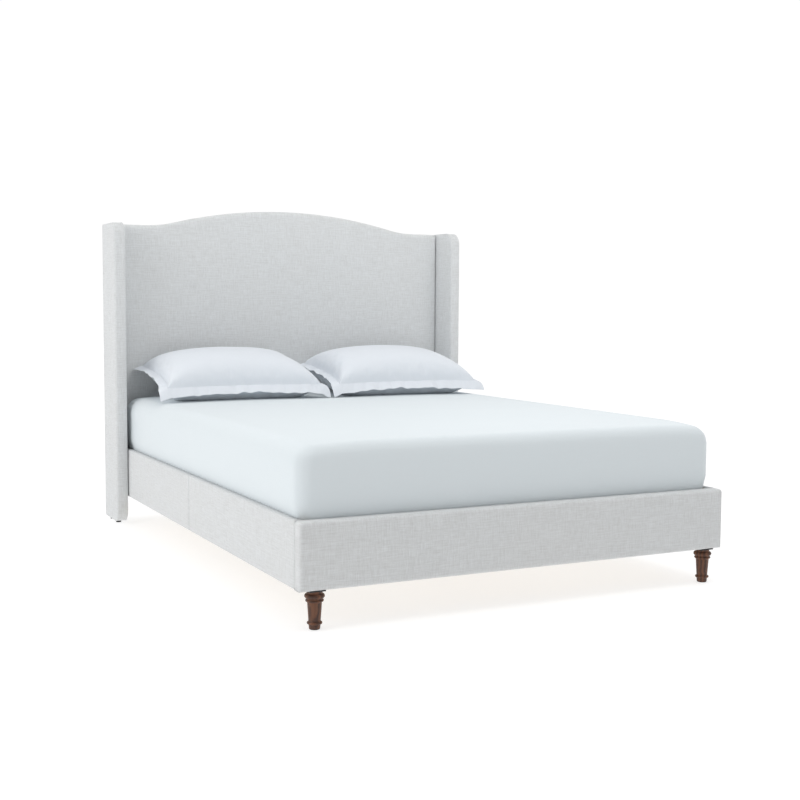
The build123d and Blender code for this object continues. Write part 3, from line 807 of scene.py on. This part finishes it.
def make_back_staples():
    """Staples round the edge of the back cloth."""
    low, high = box_of("headboard_back_cloth")
    left, right = low.x + STAPLE_EDGE, high.x - STAPLE_EDGE
    y = high.y
    places = []
    for step in range(STAPLES_ACROSS + 1):
        x = left + (right - left) * step / STAPLES_ACROSS
        top = high.z - CROWN_RISE + camelback_rise(x) - STAPLE_EDGE
        places.append(((x, y, top), (1, 0, 0)))
        places.append(((x, y, low.z + STAPLE_EDGE), (1, 0, 0)))
    for step in range(1, STAPLES_UP):
        z = low.z + (high.z - CROWN_RISE - low.z) * step / STAPLES_UP
        places.extend(((x, y, z), (0, 0, 1)) for x in (left, right))
    piece = small_parts("back_cloth_staples", places, BACK_STAPLE, ZINC)
    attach(piece, "frame")


def thicken(piece, thickness):
    """Give a single surface of cloth its thickness, half to each side."""
    modifier = piece.modifiers.new("thickness", "SOLIDIFY")
    modifier.thickness = thickness
    modifier.offset = 0.0
    apply_modifiers(piece)


def apply_modifiers(piece):
    """Bake a piece's modifiers into its mesh."""
    depsgraph = bpy.context.evaluated_depsgraph_get()
    depsgraph.update()
    mesh = bpy.data.meshes.new_from_object(piece.evaluated_get(depsgraph))
    piece.modifiers.clear()
    old = piece.data
    piece.data = mesh
    mesh.name = piece.name
    bpy.data.meshes.remove(old)


# ---- slat webbing ----------------------------------------------------------------------------
WEBBING_WIDTH = 25 * MM
SLAT_WIDTH = 70 * MM
SLAT_COUNT = 14
STRAP_STAPLE = (11 * MM, 1.1 * MM, 0.8 * MM)
STAPLE_OFFSET = 15 * MM    # from a slat's middle


def make_straps():
    """Two webbing straps stapled under the slats."""
    low, high = box_of("slat_straps")
    for side in SIDES:
        x0 = low.x if side == "left" else high.x - WEBBING_WIDTH
        shape = bmesh.new()
        bmesh.ops.create_grid(shape, x_segments=4, y_segments=190, size=0.5)
        for vert in shape.verts:
            u, v = vert.co.x + 0.5, vert.co.y + 0.5
            y = low.y + v * (high.y - low.y)
            sag = 0.4 * MM * (1 - math.cos(v * (SLAT_COUNT - 1) * math.tau)) / 2
            vert.co = Vector((x0 + u * WEBBING_WIDTH, y, (low.z + high.z) / 2 - sag))
        piece = finish_mesh(shape, f"slat_webbing_{side}", WEBBING)
        thicken(piece, 1.0 * MM)
        lay_cloth_map(piece)
        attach(piece, "slat_deck")
    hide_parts("slat_straps")
    make_strap_staples([low.x + WEBBING_WIDTH / 2, high.x - WEBBING_WIDTH / 2], low.z)


def make_strap_staples(strap_centres, underside):
    """Two staples through the webbing into each slat."""
    slats_low, slats_high = box_of("slats")
    pitch = (slats_high.y - slats_low.y - SLAT_WIDTH) / (SLAT_COUNT - 1)
    places = []
    for index in range(SLAT_COUNT):
        middle = slats_low.y + SLAT_WIDTH / 2 + index * pitch
        for x in strap_centres:
            for y in (middle - STAPLE_OFFSET, middle + STAPLE_OFFSET):
                places.append(((x, y, underside), (1, 0, 0)))
    piece = small_parts("strap_staples", places, STRAP_STAPLE, ZINC)
    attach(piece, "slat_deck")


# ---- mattress and fitted sheet ---------------------------------------------------------------
CORNER_FALL = 13 * MM
CORNER_REACH = 230 * MM
SIDE_BULGE = 15 * MM
END_BULGE = 5 * MM
SHEET_SPACE = 2.5 * MM     # the ticking lies this far inside the sheet
SHEET_TUCK = 70 * MM       # how far the sheet goes in under the mattress


def mattress_shape(low, high, corner, shoulder, cell):
    """A mattress form: upright corners, then a round top edge, cut into cells so that it can be shaped."""
    shape = rounded_box(low, high, corner, lambda m: abs(m.x) > 0.01 and abs(m.y) > 0.01, 8)
    top = [
        edge
        for edge in shape.edges
        if all(vert.co.z > high.z - MM for vert in edge.verts) and len(edge.link_faces) == 2
        and abs(edge.link_faces[0].normal.z - edge.link_faces[1].normal.z) > 0.5
    ]
    round_edges(shape, top, shoulder, 10)
    slice_into_cells(shape, low, high, cell)
    return shape


def ease_mattress(shape, low, high, rail_top):
    """Let the sides swell above the rails, the top crown and the upper corners fall away."""
    centre = (low + high) / 2
    half = (high - low) / 2
    for vert in shape.verts:
        rel_x = (vert.co.x - centre.x) / half.x
        rel_y = (vert.co.y - centre.y) / half.y
        rise = max(0.0, vert.co.z - rail_top) / (high.z - rail_top)
        bulge = min(1.0, rise / 0.1) * min(1.0, (1 - rise) / 0.25) if 0 < rise < 1 else 0.0
        to_corner = math.hypot((1 - abs(rel_x)) * half.x, (1 - abs(rel_y)) * half.y)
        fall = max(0.0, 1 - to_corner / CORNER_REACH) ** 2
        if vert.co.z > centre.z:
            vert.co.z -= CORNER_FALL * fall * (vert.co.z - centre.z) / half.z
        crown = (1 - rel_x ** 4) * (1 - rel_y ** 4) if vert.co.z > high.z - 20 * MM else 0.0
        vert.co.z += (4.0 * crown + 1.2 * crown * noise.noise(vert.co * 3.0)) * MM
        vert.co.x += math.copysign(SIDE_BULGE * bulge * abs(rel_x) ** 6, rel_x)
        vert.co.y += math.copysign(END_BULGE * bulge * abs(rel_y) ** 6, rel_y)


def make_mattress():
    """The mattress itself, in its quilted ticking."""
    low, high = SHEET_LOW.copy(), SHEET_HIGH.copy()
    inset = Vector((SHEET_SPACE, SHEET_SPACE, 0))
    low, high = low + inset, high - inset - Vector((0, 0, SHEET_SPACE))
    shape = mattress_shape(low, high, 48 * MM, 40 * MM, 60 * MM)
    ease_mattress(shape, low, high, FOOT_RAIL_HIGH.z)
    piece = lay_cloth_map(finish_mesh(shape, "mattress_ticking", TICKING))
    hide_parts("mattress_core", "mattress_comfort_layer")
    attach(piece, "mattress")
    return piece


def make_fitted_sheet():
    """The fitted sheet: drawn tight over the mattress, its edge tucked underneath."""
    low, high = SHEET_LOW.copy(), SHEET_HIGH.copy()
    shape = mattress_shape(low, high, 50 * MM, 42 * MM, 30 * MM)
    under = [face for face in shape.faces if face.normal.z < -0.9]
    bmesh.ops.delete(shape, geom=under, context="FACES")
    centre = (low + high) / 2
    half = (high - low) / 2
    ease_mattress(shape, low, high, FOOT_RAIL_HIGH.z)
    rim = [edge for edge in shape.edges if len(edge.link_faces) == 1]
    turned = bmesh.ops.extrude_edge_only(shape, edges=rim)
    inner_edge = [item for item in turned["geom"] if isinstance(item, bmesh.types.BMVert)]
    inward = Matrix.Diagonal(((half.x - SHEET_TUCK) / half.x, (half.y - SHEET_TUCK) / half.y, 1.0))
    for vert in inner_edge:
        vert.co = centre + inward @ (vert.co - centre)
        vert.co.z = low.z + 0.4 * MM
    bmesh.ops.recalc_face_normals(shape, faces=shape.faces)
    piece = finish_mesh(shape, "fitted_sheet_cotton", SHEET_COTTON)
    lay_cloth_map(piece)
    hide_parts("fitted_sheet")
    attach(piece, "mattress")
    return piece


# ---- pillows ---------------------------------------------------------------------------------
SHAM_HALF = (384 * MM, 272 * MM)
FLANGE = (38 * MM, 50 * MM)
FLANGE_CELLS = 5
SHAM_CELLS = (72, 52)
PILLOW_TILT = math.radians(8.5)
SHEET_GAP = 4 * MM
EARS = {"left": (14 * MM, 30 * MM), "right": (20 * MM, 3 * MM)}
PILLOW_SEED = {"left": 2.0, "right": 8.0}
STITCH = (4 * MM, 0.8 * MM, 0.8 * MM)
STITCH_LIFT = Vector((0, -0.5 * MM, 0.9 * MM))
LONGEST_SEAM_STEP = 15 * MM


def seamward(index, count):
    """A cell's place between two seams, from -1 to 1, with the cells closer together by the seams."""
    ease = math.radians(77)
    share = max(-1.0, min(1.0, index / (count / 2)))
    return math.sin(share * ease) / math.sin(ease)


def beyond(index, count):
    """How far out on the flange a cell lies, from 0 at the stitching to 1 at the hem."""
    return max(0.0, abs(index) - count / 2) / FLANGE_CELLS


def sham_place(column, row, under, side):
    """Where one point of the filled sham lies, with its stitched seam level."""
    s, t = seamward(column, SHAM_CELLS[0]), seamward(row, SHAM_CELLS[1])
    out_x, out_y = beyond(column, SHAM_CELLS[0]), beyond(row, SHAM_CELLS[1])
    seed = PILLOW_SEED[side]
    back = max(0.0, min(1.0, (t + 0.2) / 1.2))
    back = back * back * (3 - 2 * back)
    width = SHAM_HALF[0] - FLANGE[0] - 16 * MM * back
    depth = SHAM_HALF[1] - FLANGE[1] * (1 - 0.45 * back)
    # the filling draws each side in between its corners
    x = s * (width - 28 * MM * (1 - t * t)) + math.copysign(out_x * FLANGE[0], column)
    y = t * (depth - 10 * MM * (1 - s * s))
    y += math.copysign(out_y * FLANGE[1], row) * (0.62 if row < 0 else 0.55)
    full = math.sqrt(max(0.0, 1 - abs(s) ** 5.5)) * math.sqrt(max(0.0, 1 - abs(t) ** 2.9))
    lump = noise.noise(Vector((x * 9, y * 9, seed)))
    ripple = noise.noise(Vector((x * 30, y * 30, seed + 5)))
    z = (-96 * MM if under else 89 * MM) * full + (-4 if under else 4) * MM * lump * full
    if out_x or out_y:
        hang = 40 * MM if row < 0 else 15 * MM
        z -= max(12 * MM * out_x ** 1.2, hang * out_y ** 1.1)
        z += max(out_x, out_y) * (3 * lump + 1.5 * ripple) * MM
        if row < 0:
            z -= EARS[side][0 if column < 0 else 1] * out_x * out_y
    else:
        from_seam = min((1 - abs(s)) * width, (1 - abs(t)) * depth)
        by_side = (1 - abs(s)) * width < (1 - abs(t)) * depth
        pucker = noise.noise(Vector(((y if by_side else x) * 38, seed, 0)))
        z += 3 * MM * pucker * min(1.0, from_seam / (8 * MM)) * math.exp(-from_seam / (26 * MM))
    return Vector((x, y, z))


def shaped_sham(side):
    """Two panels joined at the stitching, with the flange outside it, laid out as filled."""
    columns, rows = (count + 2 * FLANGE_CELLS for count in SHAM_CELLS)
    shape = bmesh.new()
    bag = shape.verts.layers.int.new("bag")
    seam = shape.verts.layers.int.new("seam")
    bmesh.ops.create_grid(shape, x_segments=columns, y_segments=rows, size=0.5)
    bmesh.ops.scale(shape, vec=(columns, rows, 1), verts=shape.verts)

    def inside(place):
        return abs(place.x) < SHAM_CELLS[0] / 2 - 0.1 and abs(place.y) < SHAM_CELLS[1] / 2 - 0.1

    def on_seam(place):
        reach = max(abs(place.x) - SHAM_CELLS[0] / 2, abs(place.y) - SHAM_CELLS[1] / 2)
        return abs(reach) < 0.1

    panel = [face for face in shape.faces if inside(face.calc_center_median())]
    copied = bmesh.ops.duplicate(shape, geom=panel)["geom"]
    bmesh.ops.reverse_faces(shape, faces=[item for item in copied if isinstance(item, bmesh.types.BMFace)])
    under = {item for item in copied if isinstance(item, bmesh.types.BMVert)}
    for vert in shape.verts:
        vert[bag] = int(inside(vert.co))
        vert[seam] = int(on_seam(vert.co))
        vert.co = sham_place(round(vert.co.x), round(vert.co.y), vert in under, side)
    bmesh.ops.remove_doubles(shape, verts=shape.verts, dist=1e-5)
    return shape


def settle_on_sheet(mesh, centre):
    """Lean the pillow back, stand it on the sheet and flatten its underside there."""
    turn = Matrix.Rotation(PILLOW_TILT, 4, "X")
    for vert in mesh.vertices:
        vert.co = turn @ vert.co
    lowest = min(vert.co.z for vert in mesh.vertices)
    for vert in mesh.vertices:
        vert.co += Vector((centre.x, centre.y, MATTRESS_TOP - lowest - 10 * MM))
        vert.co.z = max(vert.co.z, MATTRESS_TOP + SHEET_GAP)
        vert.co.y = min(vert.co.y, HEADBOARD_LOW.y - 2 * MM)


def fill_sham(piece):
    """A short cloth simulation: the filling's pressure tightens the bag and ruffles the flange."""
    mesh = piece.data
    bag = piece.vertex_groups.new(name="bag")
    for vert in mesh.vertices:
        bag.add([vert.index], float(mesh.attributes["bag"].data[vert.index].value), "REPLACE")
    cloth = piece.modifiers.new("filling", "CLOTH")
    settings = cloth.settings
    settings.quality = 6
    settings.mass = 0.2
    settings.tension_stiffness = 15
    settings.compression_stiffness = 2
    settings.shear_stiffness = 3
    settings.bending_stiffness = 1.0
    settings.use_pressure = True
    settings.uniform_pressure_force = 4.0
    settings.vertex_group_pressure = "bag"
    settings.air_damping = 4.0
    settings.effector_weights.gravity = 0.0
    last = 8
    cloth.point_cache.frame_start = 1
    cloth.point_cache.frame_end = last
    for step in range(1, last + 1):
        bpy.context.scene.frame_set(step)
    apply_modifiers(piece)
    bpy.context.scene.frame_set(1)
    for vert in piece.data.vertices:
        vert.co.z = max(vert.co.z, MATTRESS_TOP + SHEET_GAP)


def make_stitching(piece, side):
    """Thread stitches that follow the seam between the bag and its flange."""
    mesh = piece.data
    marks = mesh.attributes["seam"].data
    ring = [vert.co.copy() for vert in mesh.vertices if marks[vert.index].value]
    centre = sum(ring, Vector()) / len(ring)
    squareness = SHAM_HALF[0] / SHAM_HALF[1]
    ring.sort(key=lambda place: math.atan2((place.y - centre.y) * squareness, place.x - centre.x))
    places = []
    for one, two in zip(ring, ring[1:] + ring[:1]):
        if (two - one).length < LONGEST_SEAM_STEP:
            places.append(((one + two) / 2 + STITCH_LIFT, two - one))
    stitches = small_parts(f"pillow_stitches_{side}", places, STITCH, SHAM_COTTON)
    lay_cloth_map(stitches)
    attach(stitches, f"pillow_{side}")


def make_pillow(side):
    """A flanged sham over its filling, leaned back and settled on the sheet."""
    low, high = box_of(f"pillow_sham_{side}")
    piece = finish_mesh(shaped_sham(side), f"pillow_{side}", SHAM_COTTON)
    settle_on_sheet(piece.data, (low + high) / 2)
    fill_sham(piece)
    piece.vertex_groups.clear()
    make_stitching(piece, side)
    lay_cloth_map(piece, 0.21)
    thicken(piece, 1.2 * MM)
    smooth = piece.modifiers.new("smooth", "SUBSURF")
    smooth.levels = 1
    smooth.render_levels = 1
    apply_modifiers(piece)
    for face in piece.data.polygons:
        face.use_smooth = True
    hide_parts(f"pillow_sham_{side}", f"pillow_insert_{side}")
    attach(piece, f"pillow_{side}")
    return piece


# ---- studio ----------------------------------------------------------------------------------
CAMERA_PLACE = (-2.108, -4.359, 0.9585)
CAMERA_HEADING = math.radians(-26.655)
CAMERA_DOWN = math.radians(4.448)
CAMERA_ROLL = math.radians(0.312)
CAMERA_LENS = 55.17    # with a 36 mm wide sensor
FLOOR_GLOW = 0.72


def make_camera():
    """A camera at a standing person's chest height, off the bed's left front corner."""
    data = bpy.data.cameras.new("camera")
    data.lens = CAMERA_LENS
    data.sensor_width = 36.0
    camera = bpy.data.objects.new("camera", data)
    bpy.context.scene.collection.objects.link(camera)
    turn = (
        Matrix.Rotation(CAMERA_HEADING, 4, "Z")
        @ Matrix.Rotation(math.radians(90) - CAMERA_DOWN, 4, "X")
        @ Matrix.Rotation(CAMERA_ROLL, 4, "Z")
    )
    camera.matrix_world = Matrix.Translation(CAMERA_PLACE) @ turn
    bpy.context.scene.camera = camera


def area_light(name, place, target, size, energy):
    """A rectangular light that faces its target."""
    data = bpy.data.lights.new(name, "AREA")
    data.shape = "RECTANGLE"
    data.size, data.size_y = size
    data.energy = energy
    light = bpy.data.objects.new(name, data)
    bpy.context.scene.collection.objects.link(light)
    light.location = place
    light.rotation_euler = (Vector(target) - Vector(place)).to_track_quat("-Z", "Y").to_euler()
    return light


def make_surround():
    """A white surround, dimmer in front of the bed than behind it."""
    world = bpy.data.worlds.new("studio")
    bpy.context.scene.world = world
    world.use_nodes = True
    tree = world.node_tree
    direction = node(tree, "ShaderNodeTexCoord").outputs["Generated"]
    split = node(tree, "ShaderNodeSeparateXYZ", {0: direction})
    strength = ranged(tree, split.outputs[1], -0.35, 0.1, 0.455, 1.02)
    backdrop = tree.nodes["Background"]
    backdrop.inputs[0].default_value = (1.0, 1.0, 1.0, 1)
    tree.links.new(strength, backdrop.inputs[1])


def make_studio():
    """A pale, faintly glowing floor, the surround, a soft key light and one over the headboard."""
    shape = bmesh.new()
    bmesh.ops.create_grid(shape, x_segments=1, y_segments=1, size=30.0)
    material, _, shader = start_material("studio_floor")
    shader.inputs["Base Color"].default_value = (0.35, 0.35, 0.35, 1)
    shader.inputs["Roughness"].default_value = 0.9
    shader.inputs["Emission Color"].default_value = (1, 1, 1, 1)
    shader.inputs["Emission Strength"].default_value = FLOOR_GLOW
    floor = finish_mesh(shape, "studio_floor", material, smooth=False)
    for vert in floor.data.vertices:
        vert.co.z = -0.5 * MM
    make_surround()
    area_light("key", (-5.0, -0.6, 3.2), (0, 0.2, 0.5), (3.5, 3.0), 68)
    area_light("overhead", (0.6, -1.3, 3.3), (0, 0.95, 0.9), (2.4, 1.8), 37)


bpy.context.scene.view_settings.view_transform = "Standard"
make_camera()
make_studio()
finish_frame_nodes()
make_headboard()
for wing_side in SIDES:
    make_wing(wing_side)
    make_wing_welt(wing_side)
    for rail_end in ENDS:
        make_side_rail(wing_side, rail_end)
make_foot_rail()
make_back_cloth()
make_back_staples()
make_straps()
mattress_piece = make_mattress()
make_fitted_sheet()
for pillow_side in SIDES:
    make_pillow(pillow_side)
